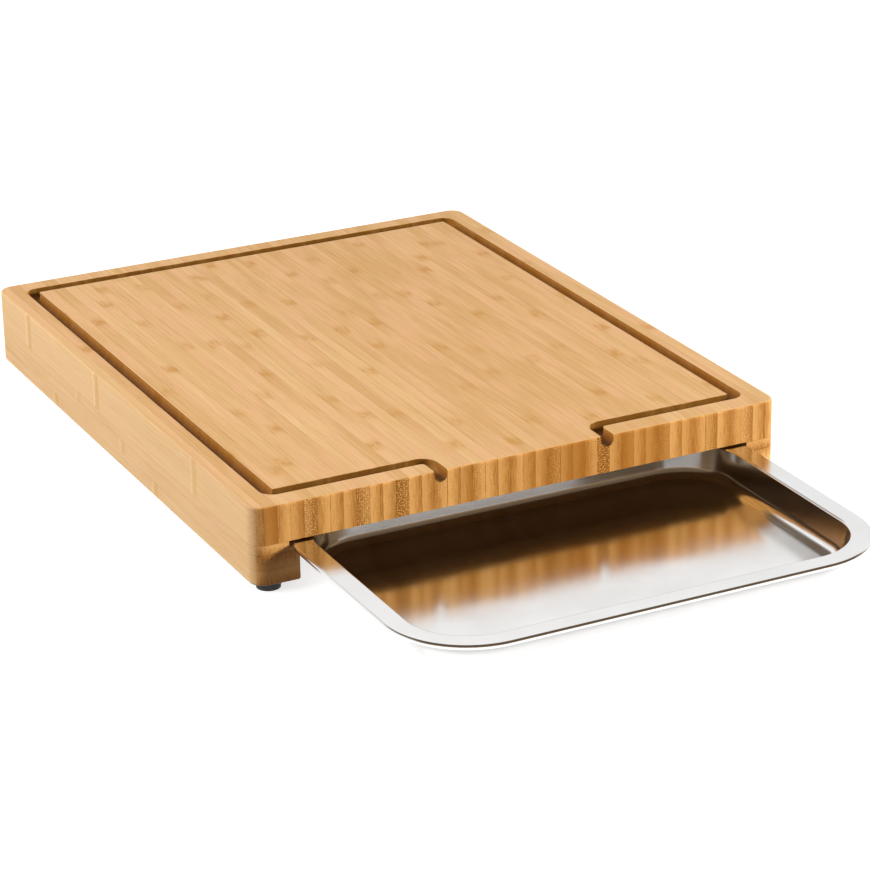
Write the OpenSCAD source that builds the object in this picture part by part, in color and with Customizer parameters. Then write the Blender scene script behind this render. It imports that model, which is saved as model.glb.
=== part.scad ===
// Bamboo cutting board on two side rails, with two sheet-steel drawer trays that
// hang by their rims in slots milled into the rails. One tray slides out of the
// front, the other out of the back. The front tray is drawn pulled out.
// Millimetres. +Z up, -Y is the front. The origin is on the table, under the
// middle of the whole outline with the front tray pulled out.

/* [Board] */
// Width of the board, left to right
board_w = 325; // [300:1:360]
// Depth of the board, front to back
board_d = 400; // [396:1:420]
// Thickness of the cutting panel
panel_t = 22.1; // [18:0.1:28]
// Radius of the board's upright corners
corner_r = 9; // [7:0.5:9]
// Radius of the eased edges around the cutting surface
ease_top = 1.6; // [0.8:0.1:2.4]
// Radius of the eased edges under the rails
ease_low = 1.8; // [0.8:0.1:2.4]
// Number of strips glued side by side in the panel
strip_n = 42; // [42]
// Width of the trimmed first strip, on the left
first_w = 6.4; // [5:0.1:8]
// Width of the last strip, on the right
last_w = 9; // [7:0.1:9.5]

/* [Juice groove] */
// Width of the groove
groove_w = 7.8; // [7:0.1:8.4]
// Depth of the groove, which has a round bottom
groove_depth = 6.8; // [5:0.1:8]
// Bare wood between the groove and the board's sides and front
groove_margin = 13.1; // [10:0.1:16]
// Bare wood between the groove and the board's back edge
back_margin = 12.8; // [10:0.1:16]
// Distance of each outlet from the board's middle
outlet_x = 51.5; // [40:0.5:70]
// Bend radius of the groove's middle line at the board's corners
groove_bend = 4.3; // [4:0.1:4.6]
// Bend radius of the groove's middle line at the outlets
outlet_bend = 6.2; // [5:0.1:8]

/* [Side rails] */
// Width of each rail
rail_w = 26.4; // [24:0.2:30]
// Thickness of the lowest layer of a rail
layer_low = 9.2; // [9:0.1:12]
// Thickness of the middle layer of a rail
layer_mid = 8.7; // [7:0.1:12]
// Thickness of the upper layer of a rail, which holds the slot
layer_top = 6; // [5:0.1:8]
// Height of the slot for the tray's rim
slot_h = 3.9; // [3.6:0.1:4.4]
// Depth of the slot into the rail
slot_d = 6; // [5:0.1:7]

/* [Trays] */
// Length of a tray, front to back
tray_l = 198; // [170:1:198]
// Depth of a tray below the top of its rim
tray_depth = 20; // [15:0.5:20.5]
// Width of the flat rim
rim_w = 12.5; // [10:0.1:15]
// Height of the turned-down lip around the rim
lip_h = 2.5; // [2:0.1:2.8]
// Outer corner radius of the rim
tray_r = 48; // [35:1:60]
// Slope of the tray's walls, in degrees
wall_slope = 9; // [3:0.5:14]
// Radius between the floor and the walls
floor_r = 8; // [4:0.5:9]
// Thickness of the sheet
sheet_t = 0.8; // [0.6:0.1:1]
// How far the front tray is drawn out
tray_out = 162; // [0:1:162]

/* [Feet] */
// Height of a rubber foot
foot_h = 4; // [3.6:0.1:5]
// Radius of a rubber foot
foot_r = 7.1; // [6:0.1:7.2]
// Distance of a foot's middle from the board's sides
foot_in = 11.4; // [10:0.1:15]
// Distance of a foot's middle from the board's ends
foot_end = 9; // [9:0.1:15]

/* [Hidden] */
strip_w = (board_w - first_w - last_w) / (strip_n - 2);
rail_h = layer_low + layer_mid + layer_top;
z_rail = foot_h;                      // underside of the rails
z_panel = foot_h + rail_h;            // underside of the panel
z_top = z_panel + panel_t;            // cutting surface
z_ledge = z_panel - slot_h;           // ledge that carries the rim
rim_z = z_ledge + 0.3 + lip_h;        // top of the rim
floor_z = rim_z - tray_depth;         // tray floor, upper face
slot_x = board_w / 2 - rail_w + slot_d; // bottom of the slot, from the middle
tray_w = 2 * (slot_x - 0.35);
tray_gap = board_d / 2 - tray_l;      // from the board's middle to a closed tray
y_mid = tray_out / 2;                 // middle of the board in this frame
// the slots are milled from both ends and stop where a closed tray's round corner
// nearly meets the wood left between them
edge_run = board_w / 2 - rail_w;
corner_q = tray_w / 2 - edge_run;
slot_stop = tray_gap + tray_r - sqrt(tray_r * tray_r - (tray_r - corner_q) * (tray_r - corner_q)) - 1.4;
gr = groove_w / 2;
gx = board_w / 2 - groove_margin - gr;
gyf = board_d / 2 - groove_margin - gr;
gyb = board_d / 2 - back_margin - gr;
gz = z_top - groove_depth + gr;       // middle of the groove's round bottom
rb = groove_bend;
re = outlet_bend;
screw_r = 1.5;
screw_len = 11;

function two(k) = k < 10 ? str("0", k) : str(k);
STRIPS = [for (k = [1:strip_n]) str("panel_strip_", two(k))];

// ---------------------------------------------------------------- board

// outline of the board seen from above
module board_plan() {
    union() {
        square([board_w - 2 * corner_r, board_d], center = true);
        square([board_w, board_d - 2 * corner_r], center = true);
        for (sx = [-1, 1], sy = [-1, 1])
            translate([sx * (board_w / 2 - corner_r), sy * (board_d / 2 - corner_r)])
                circle(r = corner_r, $fn = 64);
    }
}

// section of the panel across a run of length l, drawn with its height along y
module panel_section(l) {
    union() {
        translate([-l / 2, z_panel]) square([l, panel_t - ease_top]);
        translate([-l / 2 + ease_top, z_panel]) square([l - 2 * ease_top, panel_t]);
        for (s = [-1, 1])
            translate([s * (l / 2 - ease_top), z_top - ease_top]) circle(r = ease_top, $fn = 32);
    }
}

// a stretch of the panel between x0 and x1, eased along its front and back edges
module panel_run(x0, x1) {
    translate([x0, 0, 0]) rotate([90, 0, 90]) linear_extrude(x1 - x0) panel_section(board_d);
}

// one side of the panel with its two upright corners, s is -1 on the left
module panel_side(s) {
    cx = board_w / 2 - corner_r;
    cy = board_d / 2 - corner_r;
    union() {
        intersection() {
            translate([0, cy, 0]) rotate([90, 0, 0]) linear_extrude(2 * cy) panel_section(board_w);
            translate([s > 0 ? cx - 20 : -board_w / 2 - 1, -cy - 1, z_panel - 1])
                cube([corner_r + 21, 2 * cy + 2, panel_t + 2]);
        }
        panel_run(s > 0 ? cx - 20 : -cx, s > 0 ? cx : 20 - cx);
        for (sy = [-1, 1])
            translate([s * cx, sy * cy, 0])
                rotate([0, 0, s > 0 ? (sy > 0 ? 0 : 270) : (sy > 0 ? 90 : 180)])
                    rotate_extrude(angle = 90, $fn = 96) union() {
                        translate([0, z_panel]) square([corner_r, panel_t - ease_top]);
                        translate([0, z_panel]) square([corner_r - ease_top, panel_t]);
                        intersection() {
                            translate([corner_r - ease_top, z_top - ease_top])
                                circle(r = ease_top, $fn = 32);
                            translate([0, z_panel]) square([corner_r, panel_t]);
                        }
                    }
    }
}

// section of the groove, drawn with its height along y
module groove_section() {
    union() {
        translate([0, gz]) circle(r = gr, $fn = 48);
        translate([-gr, gz]) square([groove_w, z_top + 1 - gz]);
    }
}

// straight run of the groove along X
module groove_along_x(x0, x1, y) {
    translate([x0, y, gz]) rotate([0, 90, 0]) cylinder(r = gr, h = x1 - x0, $fn = 48);
    translate([x0, y - gr, gz]) cube([x1 - x0, groove_w, z_top + 1 - gz]);
}

// straight run of the groove along Y
module groove_along_y(y0, y1, x) {
    translate([x, y0, gz]) rotate([-90, 0, 0]) cylinder(r = gr, h = y1 - y0, $fn = 48);
    translate([x - gr, y0, gz]) cube([groove_w, y1 - y0, z_top + 1 - gz]);
}

// quarter turn of the groove about (x, y), from angle a
module groove_turn(x, y, r, a) {
    translate([x, y, 0]) rotate([0, 0, a]) rotate_extrude(angle = 90, $fn = 96)
        translate([r, 0]) groove_section();
}

function meets(a, b, x0, x1) = a < x1 && b > x0;

// the parts of the groove that cross a strip lying between x0 and x1
module groove_in(x0, x1) {
    xe = gx - rb;
    // back run
    if (meets(-xe, xe, x0, x1))
        groove_along_x(max(-xe, x0 - 1), min(xe, x1 + 1), gyb);
    for (s = [-1, 1]) {
        // side run
        if (meets(min(s * (gx - gr), s * (gx + gr)), max(s * (gx - gr), s * (gx + gr)), x0, x1))
            groove_along_y(-(gyf - rb), gyb - rb, s * gx);
        // corner turns
        if (meets(min(s * xe, s * (gx + gr)), max(s * xe, s * (gx + gr)), x0, x1)) {
            groove_turn(s * xe, gyb - rb, rb, s > 0 ? 0 : 90);
            groove_turn(s * xe, -(gyf - rb), rb, s > 0 ? 270 : 180);
        }
        // front run
        fa = min(s * (outlet_x + re), s * xe);
        fb = max(s * (outlet_x + re), s * xe);
        if (meets(fa, fb, x0, x1))
            groove_along_x(max(fa, x0 - 1), min(fb, x1 + 1), -gyf);
        // outlet turn and outlet
        oa = min(s * (outlet_x - gr), s * (outlet_x + re));
        ob = max(s * (outlet_x - gr), s * (outlet_x + re));
        if (meets(oa, ob, x0, x1))
            groove_turn(s * (outlet_x + re), -(gyf + re), re, s > 0 ? 90 : 0);
        pa = min(s * (outlet_x - gr), s * (outlet_x + gr));
        pb = max(s * (outlet_x - gr), s * (outlet_x + gr));
        if (meets(pa, pb, x0, x1))
            groove_along_y(-board_d / 2 - 1, -(gyf + re), s * outlet_x);
    }
}

// one upright strip of the panel, counted from the left
module panel_strip(k) {
    x0 = k == 1 ? -board_w / 2 : -board_w / 2 + first_w + (k - 2) * strip_w;
    x1 = k == strip_n ? board_w / 2 : -board_w / 2 + first_w + (k - 1) * strip_w;
    tone = (k * 7 + k * k * 3) % 5;
    color([0.88 - 0.02 * tone, 0.68 - 0.025 * tone, 0.44 - 0.03 * tone])
    translate([0, y_mid, 0]) difference() {
        if (max(abs(x0), abs(x1)) > board_w / 2 - corner_r)
            intersection() {
                translate([x0, -board_d / 2, z_panel]) cube([x1 - x0, board_d, panel_t]);
                panel_side(x0 < 0 ? -1 : 1);
            }
        else
            panel_run(x0, x1);
        groove_in(x0, x1);
    }
}

// one layer of a side rail; s is -1 on the left, 1 on the right
module rail_layer(s, z0, h) {
    xa = s > 0 ? board_w / 2 - rail_w : -board_w / 2;
    intersection() {
        translate([xa, -board_d / 2, z0]) cube([rail_w, board_d, h]);
        translate([0, 0, z0]) linear_extrude(h) board_plan();
    }
}

// the lowest layer before it is drilled, eased along its lower edges
module rail_lower_body(s) {
    cx = board_w / 2 - corner_r;
    cy = board_d / 2 - corner_r;
    xi = board_w / 2 - rail_w;
    e = ease_low;
    mirror([s > 0 ? 0 : 1, 0, 0]) difference() {
        union() {
            // long run, with its outer lower edge eased
            translate([0, cy, 0]) rotate([90, 0, 0]) linear_extrude(2 * cy) union() {
                translate([xi, z_rail + e]) square([rail_w, layer_low - e]);
                translate([xi, z_rail]) square([rail_w - e, layer_low]);
                translate([board_w / 2 - e, z_rail + e]) circle(r = e, $fn = 32);
            }
            // ends, with their lower edges eased
            translate([xi, 0, 0]) rotate([90, 0, 90]) linear_extrude(cx - xi) union() {
                translate([-board_d / 2, z_rail + e]) square([board_d, layer_low - e]);
                translate([-board_d / 2 + e, z_rail]) square([board_d - 2 * e, layer_low]);
                for (q = [-1, 1])
                    translate([q * (board_d / 2 - e), z_rail + e]) circle(r = e, $fn = 32);
            }
            // upright corners
            for (sy = [-1, 1])
                translate([cx, sy * cy, 0]) rotate([0, 0, sy > 0 ? 0 : 270])
                    rotate_extrude(angle = 90, $fn = 96) union() {
                        translate([0, z_rail + e]) square([corner_r, layer_low - e]);
                        translate([0, z_rail]) square([corner_r - e, layer_low]);
                        intersection() {
                            translate([corner_r - e, z_rail + e]) circle(r = e, $fn = 32);
                            translate([0, z_rail]) square([corner_r, layer_low]);
                        }
                    }
        }
        // eased inner lower edge
        translate([0, board_d / 2 + 1, 0]) rotate([90, 0, 0]) linear_extrude(board_d + 2)
            difference() {
                translate([xi - 1, z_rail - 1]) square([e + 1, e + 1]);
                translate([xi + e, z_rail + e]) circle(r = e, $fn = 32);
            }
    }
}

// the lowest layer has a pilot hole over each foot
module rail_lower(s) {
    color([0.85, 0.64, 0.4]) translate([0, y_mid, 0]) difference() {
        rail_lower_body(s);
        for (sy = [-1, 1])
            translate([s * (board_w / 2 - foot_in), sy * (board_d / 2 - foot_end), z_rail - 1])
                cylinder(r = screw_r + 0.05, h = layer_low, $fn = 32);
    }
}

module rail_middle(s) {
    color([0.82, 0.6, 0.36]) translate([0, y_mid, 0])
        rail_layer(s, z_rail + layer_low, layer_mid);
}

// the upper layer carries the slots, one from each end
module rail_upper(s) {
    color([0.88, 0.68, 0.44]) translate([0, y_mid, 0]) difference() {
        rail_layer(s, z_rail + layer_low + layer_mid, layer_top);
        for (sy = [-1, 1])
            translate([s > 0 ? board_w / 2 - rail_w - 1 : -slot_x,
                       sy > 0 ? slot_stop : -board_d / 2 - 1, z_ledge])
                cube([slot_d + 1, board_d / 2 - slot_stop + 1, slot_h + 1]);
    }
}

// ---------------------------------------------------------------- trays

function arc(cx, cy, r, a0, a1, n) = [for (i = [0:n]) let (a = a0 + (a1 - a0) * i / n) [cx + r * cos(a), cy + r * sin(a)]];

// section of the tray from the corner's middle outwards, height along y
fold_r = 1.2;
ct = [tray_r - rim_w + fold_r, rim_z - fold_r];
wt = [ct[0] - fold_r * cos(wall_slope), ct[1] + fold_r * sin(wall_slope)];
wf_z = floor_z + floor_r - floor_r * sin(wall_slope);
cf = [wt[0] - floor_r * cos(wall_slope) - tan(wall_slope) * (wt[1] - wf_z), floor_z + floor_r];
SECTION = concat(
    [[0, floor_z]],
    arc(cf[0], cf[1], floor_r, -90, -wall_slope, 8),
    arc(ct[0], ct[1], fold_r, 180 - wall_slope, 90, 4),
    arc(tray_r - fold_r, rim_z - fold_r, fold_r, 90, 0, 4),
    [[tray_r, rim_z - lip_h], [tray_r - sheet_t, rim_z - lip_h]],
    arc(tray_r - fold_r, rim_z - fold_r, fold_r - sheet_t, 0, 90, 3),
    arc(ct[0], ct[1], fold_r - sheet_t, 90, 180 - wall_slope, 3),
    arc(cf[0], cf[1], floor_r + sheet_t, -wall_slope, -90, 8),
    [[0, floor_z - sheet_t]]);

module tray() {
    hx = tray_w / 2 - tray_r;
    hy = tray_l / 2 - tray_r;
    union() {
        for (sx = [-1, 1], sy = [-1, 1])
            translate([sx * hx, sy * hy, 0])
                rotate([0, 0, sx > 0 ? (sy > 0 ? 0 : 270) : (sy > 0 ? 90 : 180)])
                    rotate_extrude(angle = 90, $fn = 96) polygon(SECTION);
        for (s = [-1, 1]) {
            translate([s * hx, s * hy, 0]) rotate([90, 0, s > 0 ? 0 : 180])
                linear_extrude(2 * hy) polygon(SECTION);
            translate([-s * hx, s * hy, 0]) rotate([90, 0, s > 0 ? 90 : 270])
                linear_extrude(2 * hx) polygon(SECTION);
        }
        translate([-hx, -hy, floor_z - sheet_t]) cube([2 * hx, 2 * hy, sheet_t]);
    }
}

module tray_front() {
    color([0.8, 0.8, 0.79])
        translate([0, y_mid - board_d / 2 - tray_out + tray_l / 2, 0]) tray();
}

module tray_rear() {
    color([0.8, 0.8, 0.79])
        translate([0, y_mid + board_d / 2 - tray_l / 2, 0]) tray();
}

// ---------------------------------------------------------------- feet

module at_foot(sx, sy) {
    translate([sx * (board_w / 2 - foot_in), y_mid + sy * (board_d / 2 - foot_end), 0]) children();
}

// round rubber foot with a recess for its screw
module foot(sx, sy) {
    color([0.07, 0.07, 0.07]) at_foot(sx, sy) difference() {
        cylinder(r1 = foot_r - 0.4, r2 = foot_r, h = foot_h, $fn = 64);
        translate([0, 0, -1]) cylinder(r = screw_r + 0.1, h = foot_h + 2, $fn = 32);
        translate([0, 0, -1]) cylinder(r = 3.1, h = 3.2, $fn = 48);
    }
}

module foot_screws() {
    color([0.7, 0.7, 0.7]) for (sx = [-1, 1], sy = [-1, 1]) at_foot(sx, sy) difference() {
        union() {
            translate([0, 0, 0.9]) cylinder(r = 2.9, h = 1.2, $fn = 48);
            translate([0, 0, 0.9]) cylinder(r = screw_r, h = screw_len, $fn = 32);
        }
        for (a = [0, 90]) rotate([0, 0, a]) translate([-1.7, -0.3, 0]) cube([3.4, 0.6, 1.5]);
    }
}

for (k = [1:strip_n]) panel_strip(k);
rail_lower(-1);  // rail_left_lower
rail_middle(-1);  // rail_left_middle
rail_upper(-1);  // rail_left_upper
rail_lower(1);  // rail_right_lower
rail_middle(1);  // rail_right_middle
rail_upper(1);  // rail_right_upper
tray_front();
tray_rear();
foot(-1, -1);  // foot_front_left
foot(1, -1);  // foot_front_right
foot(-1, 1);  // foot_rear_left
foot(1, 1);  // foot_rear_right
foot_screws();
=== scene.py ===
import math
import random

import bpy
from mathutils import Matrix, Vector


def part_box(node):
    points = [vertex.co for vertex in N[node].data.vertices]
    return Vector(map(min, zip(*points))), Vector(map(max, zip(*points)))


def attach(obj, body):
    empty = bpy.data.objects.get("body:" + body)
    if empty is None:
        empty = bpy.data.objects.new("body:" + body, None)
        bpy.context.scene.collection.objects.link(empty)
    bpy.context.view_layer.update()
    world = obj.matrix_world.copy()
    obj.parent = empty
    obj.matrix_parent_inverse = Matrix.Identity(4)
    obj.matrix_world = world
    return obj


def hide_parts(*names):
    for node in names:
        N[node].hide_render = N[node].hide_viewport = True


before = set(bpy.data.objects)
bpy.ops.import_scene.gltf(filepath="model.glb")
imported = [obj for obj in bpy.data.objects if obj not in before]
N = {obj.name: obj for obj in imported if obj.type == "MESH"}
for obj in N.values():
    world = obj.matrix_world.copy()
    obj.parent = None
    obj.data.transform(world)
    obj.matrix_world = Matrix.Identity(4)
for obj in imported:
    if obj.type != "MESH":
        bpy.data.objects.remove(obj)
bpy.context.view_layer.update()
scene = bpy.context.scene

# ------------------------------------------------------------------ sizes, mm
BOARD_W, FIRST_W, LAST_W, STRIPS = 325.0, 6.4, 9.0, 42
PITCH = (BOARD_W - FIRST_W - LAST_W) / (STRIPS - 2)
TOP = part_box("panel_strip_20")[1].z * 1000
PANEL_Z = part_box("panel_strip_20")[0].z * 1000
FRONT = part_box("panel_strip_20")[0].y * 1000
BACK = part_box("panel_strip_20")[1].y * 1000


# ------------------------------------------------------------------ node graphs
class Graph:
    """Short names for building a material's nodes."""

    def __init__(self, name):
        self.material = bpy.data.materials.new(name)
        self.material.use_nodes = True
        self.tree = self.material.node_tree
        self.tree.nodes.clear()
        self.out = self.tree.nodes.new("ShaderNodeOutputMaterial")
        self.shader = self.tree.nodes.new("ShaderNodeBsdfPrincipled")
        self.tree.links.new(self.shader.outputs[0], self.out.inputs[0])
        self.coords = self.tree.nodes.new("ShaderNodeTexCoord")
        self.x, self.y, self.z = self.split(self.scale(self.coords.outputs["Object"], 1000))
        self.nx, self.ny, self.nz = self.split(self.coords.outputs["Normal"])

    def put(self, socket, value):
        if isinstance(value, bpy.types.NodeSocket):
            self.tree.links.new(value, socket)
        elif isinstance(value, (int, float)):
            socket.default_value = value
        else:
            value = tuple(value)
            socket.default_value = value if len(value) == len(socket.default_value) else value + (1.0,)

    def math(self, op, a, b=None, c=None, clamp=False):
        n = self.tree.nodes.new("ShaderNodeMath")
        n.operation, n.use_clamp = op, clamp
        for i, v in enumerate((a, b, c)):
            if v is not None:
                self.put(n.inputs[i], v)
        return n.outputs[0]

    def value(self, name):
        n = self.tree.nodes.new("ShaderNodeValue")
        n.name = n.label = name
        return n.outputs[0]

    def add(self, a, b):
        return self.math("ADD", a, b)

    def sub(self, a, b):
        return self.math("SUBTRACT", a, b)

    def mul(self, a, b):
        return self.math("MULTIPLY", a, b)

    def most(self, a, b):
        return self.math("MAXIMUM", a, b)

    def size(self, a):
        return self.math("ABSOLUTE", a)

    def scale(self, v, k):
        n = self.tree.nodes.new("ShaderNodeVectorMath")
        n.operation = "SCALE"
        self.put(n.inputs[0], v)
        n.inputs["Scale"].default_value = k
        return n.outputs[0]

    def split(self, v):
        n = self.tree.nodes.new("ShaderNodeSeparateXYZ")
        self.put(n.inputs[0], v)
        return n.outputs

    def vec(self, x, y, z):
        n = self.tree.nodes.new("ShaderNodeCombineXYZ")
        for i, v in enumerate((x, y, z)):
            self.put(n.inputs[i], v)
        return n.outputs[0]

    def noise(self, v, detail=2.0, rough=0.5, scale=1.0, distort=0.0):
        n = self.tree.nodes.new("ShaderNodeTexNoise")
        self.put(n.inputs["Vector"], v)
        n.inputs["Scale"].default_value = scale
        n.inputs["Detail"].default_value = detail
        n.inputs["Roughness"].default_value = rough
        n.inputs["Distortion"].default_value = distort
        return n.outputs["Fac"]

    def cells(self, v, scale=1.0, randomness=1.0):
        n = self.tree.nodes.new("ShaderNodeTexVoronoi")
        n.voronoi_dimensions = "2D"
        self.put(n.inputs["Vector"], v)
        n.inputs["Scale"].default_value = scale
        n.inputs["Randomness"].default_value = randomness
        return n.outputs["Distance"]

    def step(self, v, a, b, lo=0.0, hi=1.0):
        """lo before a, hi after b, smooth between them."""
        n = self.tree.nodes.new("ShaderNodeMapRange")
        n.interpolation_type = "SMOOTHSTEP"
        self.put(n.inputs["Value"], v)
        for name, k in (("From Min", a), ("From Max", b), ("To Min", lo), ("To Max", hi)):
            self.put(n.inputs[name], k)
        return n.outputs[0]

    def mix(self, f, a, b, how="MIX"):
        n = self.tree.nodes.new("ShaderNodeMix")
        n.data_type, n.blend_type, n.clamp_factor = "RGBA", how, True
        self.put(n.inputs[0], f)
        self.put(n.inputs[6], a)
        self.put(n.inputs[7], b)
        return n.outputs[2]

    def bump(self, height, distance, strength=1.0, under=None):
        n = self.tree.nodes.new("ShaderNodeBump")
        n.inputs["Strength"].default_value = strength
        n.inputs["Distance"].default_value = distance
        self.put(n.inputs["Height"], height)
        if under is not None:
            self.put(n.inputs["Normal"], under)
        return n.outputs[0]


def srgb(r, g, b):
    return tuple((c / 255 / 12.92) if c <= 10 else ((c / 255 + 0.055) / 1.055) ** 2.4 for c in (r, g, b))


# ------------------------------------------------------------------ bamboo
PALE = (0.655, 0.415, 0.190)
WARM = (0.560, 0.322, 0.122)
ROSE = (0.660, 0.382, 0.192)
SIDE_PAINTED_LIGHT = (0.740, 0.510, 0.265)
END_PALE = (0.760, 0.410, 0.130)
END_DEEP = (0.370, 0.135, 0.016)
LINE = (0.300, 0.130, 0.030)
MARK = (0.470, 0.225, 0.040)
# groove colours, partly scorch and partly painted shade of the recess and of the walls turned away from the light
SCORCH_AND_SHADE = (0.150, 0.062, 0.009)
TOAST_AND_SHADE = (0.340, 0.135, 0.016)


def bamboo_base(name, flat):
    """Bamboo with its fibres along Y; the bundles that they are show as dots on the cut ends.
    across runs over the glue lines: along X, or along Z where flat. Every strip gets a copy with its own numbers."""
    g = Graph(name)
    centre, half, skin, tone, dotted = (g.value(k) for k in ("centre", "half", "skin", "tone", "dotted"))
    ox, oy, oz = g.value("ox"), g.value("oy"), g.value("oz")
    across = g.sub(g.z if flat else g.x, centre)
    # fibres wander a little along their length
    sway = g.mul(g.sub(g.noise(g.vec(ox, g.mul(g.y, 0.012), oz), 1.0), 0.5), 3.0)
    fx = g.add(g.x, g.add(sway, ox))
    fz = g.add(g.z, g.add(g.mul(sway, 1.4), oz))
    fy = g.add(g.y, oy)
    is_end = g.step(g.size(g.ny), 0.55, 0.8)
    is_side = g.step(g.size(g.nx), 0.55, 0.8)
    # broad bands, streaks, fine lines
    bands = g.noise(g.vec(g.mul(fx, 0.16), g.mul(fy, 0.006), g.mul(fz, 0.16)), 2.0, 0.5)
    streaks = g.noise(g.vec(g.mul(fx, 0.85), g.mul(fy, 0.011), g.mul(fz, 0.85)), 3.0, 0.6)
    fine = g.noise(g.vec(g.mul(fx, 3.2), g.mul(fy, 0.035), g.mul(fz, 3.2)), 2.0, 0.65)
    hairs = g.noise(g.vec(g.mul(fx, 5.5), g.mul(fy, 0.09), g.mul(fz, 5.5)), 1.0, 0.5)
    blotch = g.noise(g.vec(g.mul(fx, 0.05), g.mul(fy, 0.013), g.mul(fz, 0.05)), 2.0, 0.5)
    wood = g.mix(g.step(g.add(g.mul(bands, 0.75), g.mul(tone, 0.5)), 0.28, 0.78), PALE, WARM)
    wood = g.mix(g.step(blotch, 0.42, 0.62, 0.0, 0.60), wood, ROSE)
    # painted light: faces that face left and right are mixed towards a paler colour, as the side lit by the key lamp
    wood = g.mix(g.mul(is_side, 0.45), wood, SIDE_PAINTED_LIGHT)
    wood = g.mix(g.step(streaks, 0.52, 0.74, 0.0, 0.22), wood, LINE)
    wood = g.mix(g.step(fine, 0.54, 0.74, 0.0, 0.20), wood, LINE)
    wood = g.mix(g.step(streaks, 0.30, 0.46, 0.16, 0.0), wood, (0.86, 0.63, 0.36))
    # cut ends: bundles as dots, closer together towards the skin side
    jitter = g.mul(g.sub(g.noise(g.vec(g.mul(fx, 0.9), 0.0, g.mul(fz, 0.9)), 1.0), 0.5), 0.7)
    dots = g.cells(g.vec(g.add(g.mul(fx, 0.92), jitter), g.add(g.mul(fz, 1.25), jitter), 0.0), 1.0, 0.65)
    side = g.mul(g.math("DIVIDE", across, half), skin)
    dense = g.step(side, -1.0, 1.0, 0.0, 1.0)
    dot = g.step(dots, 0.22, 0.44, 1.0, 0.0)
    fill = g.noise(g.vec(g.mul(fx, 1.3), 0.0, g.mul(fz, 0.10)), 3.0, 0.6)
    end = g.mix(g.step(g.add(g.mul(fill, 0.7), g.mul(dense, g.add(0.32, g.mul(tone, 0.1)))), 0.30, 0.95), END_PALE, END_DEEP)
    end = g.mix(g.mul(g.mul(tone, tone), 1.05), end, END_DEEP)
    end = g.mix(g.mul(dot, g.add(g.add(0.12, g.mul(dotted, 0.66)), g.mul(dense, 0.18))), end, (0.15, 0.060, 0.012))
    between = g.step(dots, 0.45, 0.65)
    end = g.mix(g.mul(between, g.mul(dotted, 0.45)), end, (0.86, 0.52, 0.19))
    saw = g.noise(g.vec(g.mul(fx, 0.25), 0.0, g.mul(fz, 2.6)), 2.0, 0.6)
    end = g.mix(g.step(saw, 0.5, 0.75, 0.0, 0.22), end, END_DEEP)
    base = g.mix(is_end, wood, end)
    # glue lines to both neighbours
    glue = g.step(g.sub(half, g.size(across)), 0.05, 0.42, 1.0, 0.0)
    broken = g.step(g.noise(g.vec(ox, g.mul(fy, 0.03), g.mul(fz, 0.2)), 2.0), 0.38, 0.6, 0.35, 1.0)
    low_side = g.step(across, -0.1, 0.1, 1.0, 0.0)
    joint = g.add(g.mul(low_side, g.value("joint_low")), g.mul(g.sub(1.0, low_side), g.value("joint_high")))
    base = g.mix(g.mul(g.mul(glue, broken), g.mul(joint, g.add(0.34, g.mul(is_end, 0.50)))), base, (0.17, 0.070, 0.016))
    # growth nodes
    total = None
    if not flat:
        patch = g.step(g.noise(g.vec(g.mul(fx, 0.30), g.mul(g.y, 0.13), g.mul(fz, 0.30)), 2.0, 0.5), 0.34, 0.56, 0.0, 1.0)
        frayed = g.mul(g.sub(g.noise(g.vec(g.mul(fx, 1.6), g.mul(g.y, 0.02), g.mul(fz, 1.6)), 2.0, 0.6), 0.5), 9.0)
        wobble = g.mul(g.sub(g.noise(g.vec(g.mul(fx, 0.4), 0.0, g.mul(fz, 0.4)), 2.0), 0.5), 9.0)
        for i in range(3):
            y0, k, bow, tilt = (g.value(w + str(i)) for w in ("my", "mk", "mb", "mt"))
            u = g.sub(g.sub(g.y, y0), g.add(g.add(g.mul(g.mul(across, across), bow), g.mul(across, tilt)), wobble))
            band = g.mul(g.step(g.size(g.add(u, frayed)), 1.5, 9.0, 1.0, 0.0), 0.78)
            ring = g.mul(g.step(g.size(g.sub(u, 0.8)), 0.2, 2.2, 1.0, 0.0), 0.70)
            halo = g.step(g.size(u), 2.0, 12.0, 0.34, 0.0)
            one = g.mul(g.most(g.mul(g.most(band, ring), patch), halo), k)
            total = one if total is None else g.most(total, one)
        total = g.mul(total, g.step(g.size(g.ny), 0.4, 0.7, 1.0, 0.0))
        base = g.mix(total, base, MARK)
    wobble = g.mul(g.sub(g.noise(g.vec(0.0, g.mul(g.z, 0.10), oz), 2.0), 0.5), 5.0)
    for i in range(3):
        y0, k = g.value("sy" + str(i)), g.value("sk" + str(i))
        u = g.sub(g.sub(g.y, y0), wobble)
        band = g.step(g.size(u), 1.0, 4.6, 0.50, 0.0)
        ring = g.step(g.size(g.add(u, 1.7)), 0.2, 1.6, 0.72, 0.0)
        pale = g.step(g.size(g.sub(u, 4.6)), 0.2, 2.1, 0.28, 0.0)
        here = g.mul(is_side, k)
        base = g.mix(g.mul(pale, here), base, (0.90, 0.70, 0.42))
        base = g.mix(g.mul(g.most(band, ring), here), base, (0.56, 0.31, 0.085))
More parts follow.
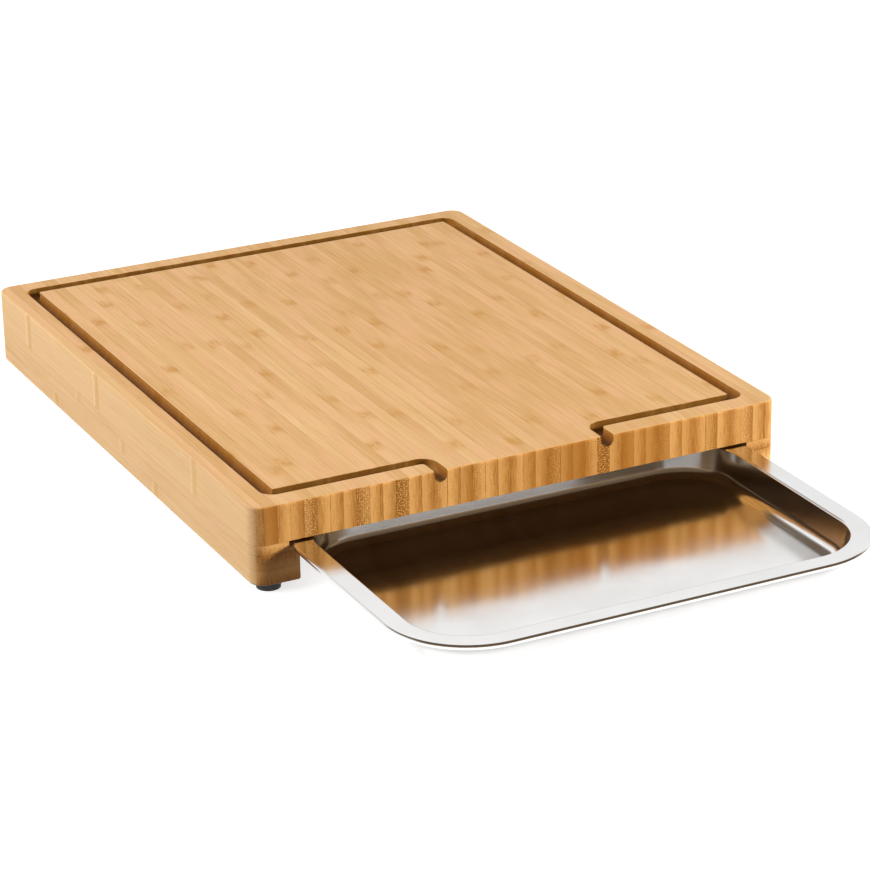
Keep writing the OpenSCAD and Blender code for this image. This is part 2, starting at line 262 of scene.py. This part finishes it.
    # the routed groove, painted darker as scorch and as painted shade of the recess: its walls along X get the darker
    # colour, those along Y a lighter one, as painted shade for light from the side, right up to the edge
    if not flat:
        outlet = g.step(g.size(g.sub(g.size(g.x), 51.5)), 3.95, 4.05, 1.0, 0.0)
        outlet = g.mul(outlet, g.step(g.size(g.ny), 0.9, 0.98, 1.0, 0.0))
        inside = g.mul(g.step(g.size(g.x), 149.5, 150.0, 1.0, 0.0), g.step(g.z, TOP - 7.2, TOP - 7.0))
        inside = g.mul(inside, g.mul(g.most(outlet, g.step(g.y, FRONT + 2.0, FRONT + 2.4)), g.step(g.y, BACK - 12.4, BACK - 12.0, 1.0, 0.0)))
        deep = g.step(g.sub(TOP, g.z), 0.02, 0.5)
        burn_and_shade_noise = g.noise(g.vec(g.mul(g.x, 0.12), g.mul(g.y, 0.12), oz), 3.0, 0.6)
        groove_burn_and_shade = g.mix(g.step(g.size(g.nx), 0.45, 0.8), SCORCH_AND_SHADE, TOAST_AND_SHADE)
        base = g.mix(g.mul(g.mul(inside, deep), g.step(burn_and_shade_noise, 0.3, 0.7, 0.84, 0.98)), base, groove_burn_and_shade)
    g.put(g.shader.inputs["Base Color"], base)
    g.put(g.shader.inputs["Roughness"], g.step(g.add(g.mul(fine, 0.5), g.mul(streaks, 0.5)), 0.3, 0.7, 0.50, 0.64))
    g.shader.inputs["Specular IOR Level"].default_value = 0.22
    height = g.add(g.mul(fine, 0.6), g.add(g.mul(hairs, 0.4), g.mul(g.mul(dot, is_end), -0.35)))
    g.put(g.shader.inputs["Normal"], g.bump(height, 0.00006, 0.55))
    return g.material


BASES = {False: bamboo_base("bamboo_upright", False), True: bamboo_base("bamboo_flat", True)}


def bamboo(name, centre, half, seed, tone, dotted=0.0, marks=(), flat=False, skin=1.0, side_marks=(), free=""):
    """free: "low" or "high", the face that is glued to nothing."""
    r = random.Random(seed)
    m = BASES[flat].copy()
    m.name = name
    numbers = {"centre": centre, "half": half, "skin": skin, "tone": tone, "dotted": dotted,
               "joint_low": random.Random(int(1000 + round((centre - half) * 10))).uniform(0.15, 1.0),
               "joint_high": random.Random(int(1000 + round((centre + half) * 10))).uniform(0.15, 1.0),
               "ox": r.uniform(0, 400), "oy": r.uniform(0, 400), "oz": r.uniform(0, 400)}
    for i in range(3):
        if not flat:
            numbers["my%d" % i] = marks[i] if i < len(marks) else 0.0
            numbers["mk%d" % i] = r.uniform(0.55, 1.0) if i < len(marks) else 0.0
            numbers["mb%d" % i] = r.uniform(-0.16, 0.16)
            numbers["mt%d" % i] = r.uniform(-0.35, 0.35)
        numbers["sy%d" % i] = side_marks[i][0] if i < len(side_marks) else 0.0
        numbers["sk%d" % i] = side_marks[i][1] if i < len(side_marks) else 0.0
    if free:
        numbers["joint_" + free] = 0.0
    for key, v in numbers.items():
        m.node_tree.nodes[key].outputs[0].default_value = v
    return m


# growth nodes that show on the cutting surface, as strip number: places along Y in mm
NODES_ON_TOP = {
    1: (), 2: (150,), 3: (-40, 215), 4: (60,), 5: (190, -75), 6: (94, -68), 7: (218, 10), 8: (245, 175, -21),
    9: (125,), 10: (30, 262), 11: (120, 237), 12: (60, 193), 13: (106, -70), 14: (4, 160), 15: (199, 125, -27),
    16: (60, 235), 17: (-33, 175), 18: (103, 255, -90), 19: (35,), 20: (165, -60), 21: (105, 245), 22: (-102, 70),
    23: (130, 214), 24: (107, -15), 25: (190, -78), 26: (50, 232), 27: (-2, 150), 28: (37, 200), 29: (144, -90),
    30: (120,), 31: (6, 245), 32: (90, -60), 33: (180,), 34: (200, 15), 35: (110, -85), 36: (223, 73), 37: (222, -10),
    38: (-28, 140), 39: (32, 190), 40: (-80, 95), 41: (160,), 42: (20, 230),
}
# strips whose cut ends show their bundles plainly
DOTTED = {5: 0.75, 9: 0.8, 12: 1.0, 28: 1.0, 24: 0.35, 18: 0.2, 33: 0.25, 37: 0.2, 15: 0.15, 40: 0.3}
TONES = {1: 0.1, 2: 0.85, 3: 0.25, 4: 0.45, 5: 0.55, 6: 0.15, 7: 0.3, 8: 0.35, 9: 0.5, 10: 0.2, 11: 0.25, 12: 0.8,
         13: 0.2, 14: 0.4, 15: 0.3, 16: 0.1, 17: 0.65, 18: 0.35, 19: 0.3, 20: 0.45, 21: 0.4, 22: 0.65, 23: 0.6, 24: 0.8,
         25: 0.75, 26: 0.85, 27: 0.6, 28: 0.95, 29: 0.55, 30: 0.85, 31: 0.65, 32: 0.75, 33: 0.8, 34: 0.35, 35: 0.5,
         36: 0.45, 37: 0.6, 38: 0.35, 39: 0.55, 40: 0.5, 41: 0.4, 42: 0.35}


def paint(obj, material):
    obj.data.materials.clear()
    obj.data.materials.append(material)


for k in range(1, STRIPS + 1):
    x0 = -BOARD_W / 2 if k == 1 else -BOARD_W / 2 + FIRST_W + (k - 2) * PITCH
    x1 = BOARD_W / 2 if k == STRIPS else -BOARD_W / 2 + FIRST_W + (k - 1) * PITCH
    sides = ()
    if k == 1:
        sides = ((224, 1.0), (109, 1.0), (-39, 0.7))
    elif k == STRIPS:
        sides = ((190, 0.9), (40, 0.9))
    paint(N["panel_strip_%02d" % k],
          bamboo("bamboo_strip_%02d" % k, (x0 + x1) / 2, (x1 - x0) / 2, 100 + k, TONES[k], DOTTED.get(k, 0.0),
                 NODES_ON_TOP[k], skin=1.0 if k % 3 else -1.0, side_marks=sides,
                 free="low" if k == 1 else "high" if k == STRIPS else ""))

RAIL_TONES = {"upper": 0.35, "middle": 0.6, "lower": 0.4}
for i, side in enumerate(("left", "right")):
    for j, layer in enumerate(("lower", "middle", "upper")):
        name = "rail_%s_%s" % (side, layer)
        lo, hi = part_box(name)
        tone = RAIL_TONES[layer] if side == "left" else {"upper": 0.5, "middle": 0.05, "lower": 0.6}[layer]
        marks = {("left", "lower"): ((180, 1.0), (20, 0.8)), ("left", "middle"): ((70, 0.6),),
                 ("left", "upper"): ((140, 0.5),)}.get((side, layer), ((60 + 50 * j, 0.7),))
        paint(N[name], bamboo("bamboo_" + name, (lo.z + hi.z) * 500, (hi.z - lo.z) * 500, 300 + 10 * i + j, tone,
                              0.15, (), flat=True, skin=1.0 if j % 2 else -1.0, side_marks=marks,
                              free="low" if layer == "lower" else ""))


# ------------------------------------------------------------------ steel
def steel(name, roughness, colour=(0.785, 0.785, 0.785)):
    g = Graph(name)
    grain = g.noise(g.vec(g.mul(g.x, 0.35), g.mul(g.y, 7.0), g.mul(g.z, 7.0)), 3.0, 0.6)
    cloud = g.noise(g.vec(g.mul(g.x, 0.03), g.mul(g.y, 0.03), g.mul(g.z, 0.03)), 3.0, 0.55)
    base = g.mix(g.step(cloud, 0.3, 0.7, 0.0, 0.5), colour, tuple(c * 0.93 for c in colour))
    # painted shade under the rim: outward faces that tilt down, high on the tray's wall, are mixed towards dark grey
    under = g.mul(g.step(g.nz, -0.13, -0.05, 1.0, 0.0), g.step(g.z, 13.5, 19.5))
    under = g.mul(under, g.step(g.nz, -0.90, -0.60))
    base = g.mix(g.mul(under, 0.60), base, (0.16, 0.16, 0.165))
    g.put(g.shader.inputs["Base Color"], base)
    g.shader.inputs["Metallic"].default_value = 1.0
    g.put(g.shader.inputs["Roughness"], g.add(g.step(cloud, 0.25, 0.75, roughness - 0.015, roughness + 0.02),
                                              g.step(grain, 0.3, 0.7, -0.012, 0.012)))
    swell = g.noise(g.vec(g.mul(g.x, 0.012), g.mul(g.y, 0.012), g.mul(g.z, 0.012)), 1.0, 0.5)
    long_wave = g.bump(swell, 0.004, 0.12)
    g.put(g.shader.inputs["Normal"], g.bump(grain, 0.00001, 0.25, long_wave))
    return g.material


STEEL = steel("satin_steel", 0.155)

# tray, swept round its rounded outline
SHEET, LIP, RIM, FOLD, FLOOR_R, SLOPE, DEPTH, CORNER = 0.8, 2.5, 12.5, 1.2, 8.0, 9.0, 20.0, 48.0


def arc(cx, cz, r, a0, a1, n):
    return [(cx + r * math.cos(math.radians(a0 + (a1 - a0) * i / n)),
             cz + r * math.sin(math.radians(a0 + (a1 - a0) * i / n)),
             a0 + (a1 - a0) * i / n) for i in range(n + 1)]


def tray_mesh(name, node):
    lo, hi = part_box(node)
    x0, y0, x1, y1 = lo.x * 1000, lo.y * 1000, hi.x * 1000, hi.y * 1000
    rim_z, floor_z = hi.z * 1000, hi.z * 1000 - DEPTH
    mx, my = (x0 + x1) / 2, (y0 + y1) / 2
    hx, hy = (x1 - x0) / 2 - CORNER, (y1 - y0) / 2 - CORNER
    c, s, t = math.cos(math.radians(SLOPE)), math.sin(math.radians(SLOPE)), math.tan(math.radians(SLOPE))
    ct = (CORNER - RIM + FOLD, rim_z - FOLD)
    wt = (ct[0] - FOLD * c, ct[1] + FOLD * s)
    wf = floor_z + FLOOR_R - FLOOR_R * s
    cf = (wt[0] - FLOOR_R * c - t * (wt[1] - wf), floor_z + FLOOR_R)
    # profile as (radius, height, normal's angle), from the floor up over the rim, round the lip and back underneath
    up = [(r, z, a + 180) for r, z, a in arc(cf[0], cf[1], FLOOR_R, -90, -SLOPE, 18)]
    up += arc(ct[0], ct[1], FOLD, 180 - SLOPE, 90, 6)
    up += arc(CORNER - FOLD, rim_z - FOLD, FOLD, 90, 0, 8)
    edge = 0.25
    up += [(CORNER, rim_z - LIP + edge, 0)]
    up += arc(CORNER - edge, rim_z - LIP + edge, edge, 0, -90, 3)[1:]
    up += arc(CORNER - SHEET + edge, rim_z - LIP + edge, edge, -90, -180, 3)
    inner = FOLD - SHEET
    up += [(r, z, a + 180) for r, z, a in arc(CORNER - FOLD, rim_z - FOLD, inner, 0, 90, 5)]
    up += [(r, z, a + 180) for r, z, a in arc(ct[0], ct[1], inner, 90, 180 - SLOPE, 5)]
    up += arc(cf[0], cf[1], FLOOR_R + SHEET, -SLOPE, -90, 18)
    # path round the outline: unit direction and the arc's middle
    turn = 28
    path = []
    for q, (sx, sy) in enumerate(((1, 1), (-1, 1), (-1, -1), (1, -1))):
        for i in range(turn + 1):
            a = math.radians(90 * q + 90 * i / turn)
            path.append((mx + sx * hx, my + sy * hy, math.cos(a), math.sin(a)))
    verts, norms, faces = [], [], []
    m = len(path)
    for r, z, a in up:
        for px, py, dx, dy in path:
            verts.append(((px + r * dx) / 1000, (py + r * dy) / 1000, z / 1000))
            ca, sa = math.cos(math.radians(a)), math.sin(math.radians(a))
            norms.append((dx * ca, dy * ca, sa))
    for i in range(len(up) - 1):
        for j in range(m):
            k = (j + 1) % m
            faces.append((i * m + j, (i + 1) * m + j, (i + 1) * m + k, i * m + k))
    # floors: the first ring closes upwards, the last one downwards
    faces.append(tuple(range(m)))
    last = (len(up) - 1) * m
    faces.append(tuple(last + j for j in reversed(range(m))))
    mesh = bpy.data.meshes.new(name)
    mesh.from_pydata(verts, [], faces)
    mesh.update()
    for p in mesh.polygons:
        p.use_smooth = True
    loop_normals = []
    for p in mesh.polygons:
        for v in p.vertices:
            loop_normals.append(norms[v])
    mesh.normals_split_custom_set(loop_normals)
    obj = bpy.data.objects.new(name, mesh)
    scene.collection.objects.link(obj)
    obj.data.materials.append(STEEL)
    return obj


for part, body in (("front", "front_drawer"), ("rear", "rear_drawer")):
    tray = tray_mesh("steel_tray_" + part, "tray_" + part)
    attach(tray, body)
    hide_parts("tray_" + part)


# ------------------------------------------------------------------ rubber feet and screws
def rubber():
    g = Graph("black_rubber")
    grain = g.noise(g.scale(g.coords.outputs["Object"], 2600), 3.0, 0.6)
    worn = g.noise(g.scale(g.coords.outputs["Object"], 300), 2.0, 0.5)
    base = g.mix(g.step(worn, 0.4, 0.7, 0.0, 0.5), (0.012, 0.012, 0.013), (0.026, 0.025, 0.025))
    g.put(g.shader.inputs["Base Color"], base)
    g.put(g.shader.inputs["Roughness"], g.step(worn, 0.3, 0.7, 0.48, 0.62))
    g.put(g.shader.inputs["Normal"], g.bump(grain, 0.00005, 0.5))
    return g.material


RUBBER = rubber()
for name in ("foot_front_left", "foot_front_right", "foot_rear_left", "foot_rear_right"):
    paint(N[name], RUBBER)
paint(N["foot_screws"], steel("screw_zinc", 0.30, (0.60, 0.60, 0.60)))

# ------------------------------------------------------------------ floor, light, camera
mesh = bpy.data.meshes.new("floor")
mesh.from_pydata([(-8.0, -0.62, 0.0), (8.0, -0.62, 0.0), (8.0, 8.0, 0.0), (-8.0, 8.0, 0.0)], [], [(0, 1, 2, 3)])
floor = bpy.data.objects.new("floor", mesh)
scene.collection.objects.link(floor)
m = bpy.data.materials.new("floor_white")
m.use_nodes = True
bsdf = m.node_tree.nodes["Principled BSDF"]
bsdf.inputs["Base Color"].default_value = (0.60, 0.60, 0.60, 1)
bsdf.inputs["Roughness"].default_value = 0.9
bsdf.inputs["Specular IOR Level"].default_value = 0.0
bsdf.inputs["Emission Color"].default_value = (1, 1, 1, 1)
bsdf.inputs["Emission Strength"].default_value = 0.70
mesh.materials.append(m)
floor.visible_diffuse = False

world = bpy.data.worlds.new("studio")
scene.world = world
world.use_nodes = True
wt = world.node_tree
wt.nodes.clear()


def wlink(node, sockets, *values):
    n = wt.nodes.new(node)
    for i, v in zip(sockets, values):
        if isinstance(v, bpy.types.NodeSocket):
            wt.links.new(v, n.inputs[i])
        else:
            n.inputs[i].default_value = v
    return n


def wstep(v, a, b, lo=0.0, hi=1.0):
    n = wlink("ShaderNodeMapRange", (0, 1, 2, 3, 4), v, a, b, lo, hi)
    n.interpolation_type = "SMOOTHSTEP"
    return n.outputs[0]


def wmath(op, a, b):
    n = wlink("ShaderNodeMath", (0, 1), a, b)
    n.operation = op
    return n.outputs[0]


def wmix(f, a, b):
    n = wt.nodes.new("ShaderNodeMix")
    n.data_type = "RGBA"
    for i, v in ((0, f), (6, a), (7, b)):
        if isinstance(v, bpy.types.NodeSocket):
            wt.links.new(v, n.inputs[i])
        else:
            n.inputs[i].default_value = v
    return n.outputs[2]


sep = wlink("ShaderNodeSeparateXYZ", (0,), wt.nodes.new("ShaderNodeTexCoord").outputs["Generated"])
wx, wy, wz = sep.outputs
# a white sweep behind, up to 30 degrees, with a bright top edge; a dark warm room in front and above
behind = wstep(wy, -0.15, 0.35)
sweep = wmath("MULTIPLY", behind, wstep(wz, 0.50, 0.60, 1.0, 0.0))
edge = wmath("MULTIPLY", sweep, wstep(wz, 0.42, 0.46))
room = wmix(wstep(wz, 0.02, 0.45), (0.33, 0.205, 0.105, 1), (0.15, 0.105, 0.066, 1))
colour = wmix(sweep, room, (1.00, 1.00, 1.00, 1))
colour = wmix(wstep(wz, -0.30, -0.05, 1.0, 0.0), colour, (0.105, 0.102, 0.100, 1))
colour = wmix(edge, colour, (1.30, 1.28, 1.25, 1))
bg = wlink("ShaderNodeBackground", (0, 1), colour, 1.0)
wlink("ShaderNodeOutputWorld", (0,), bg.outputs[0])


def area(name, at, to, w, h, power, colour=(1, 1, 1), glossy=False):
    data = bpy.data.lights.new(name, "AREA")
    data.shape, data.size, data.size_y, data.energy, data.color = "RECTANGLE", w, h, power, colour
    o = bpy.data.objects.new(name, data)
    o.location = at
    o.rotation_euler = (Vector(to) - Vector(at)).to_track_quat("-Z", "Y").to_euler()
    o.visible_glossy = glossy
    scene.collection.objects.link(o)
    return o


area("key_left", (-1.7, 0.4, 0.9), (0, 0.05, 0), 1.4, 1.0, 34)
area("right_low", (1.5, -1.55, 0.74), (0, -0.05, 0.02), 0.7, 0.4, 70)
area("top", (0.2, 0.3, 2.0), (0, 0.05, 0), 1.6, 1.2, 11)

camera = bpy.data.cameras.new("camera")
camera.sensor_width = 36.0
camera.lens = 132.2554
camera.clip_start, camera.clip_end = 0.05, 50.0
cam = bpy.data.objects.new("camera", camera)
right = Vector((0.8934650, -0.4488007, -0.0172688))
down = Vector((-0.1835853, -0.3298479, -0.9260112))
ahead = Vector((0.4098984, 0.8305289, -0.3771008))
rot = Matrix((right, -down, -ahead)).transposed()
cam.matrix_world = Matrix.Translation((-0.7571355, -1.5423524, 0.7175331)) @ rot.to_4x4()
scene.collection.objects.link(cam)
scene.camera = cam
scene.view_settings.view_transform = "Standard"
scene.view_settings.look = "None"
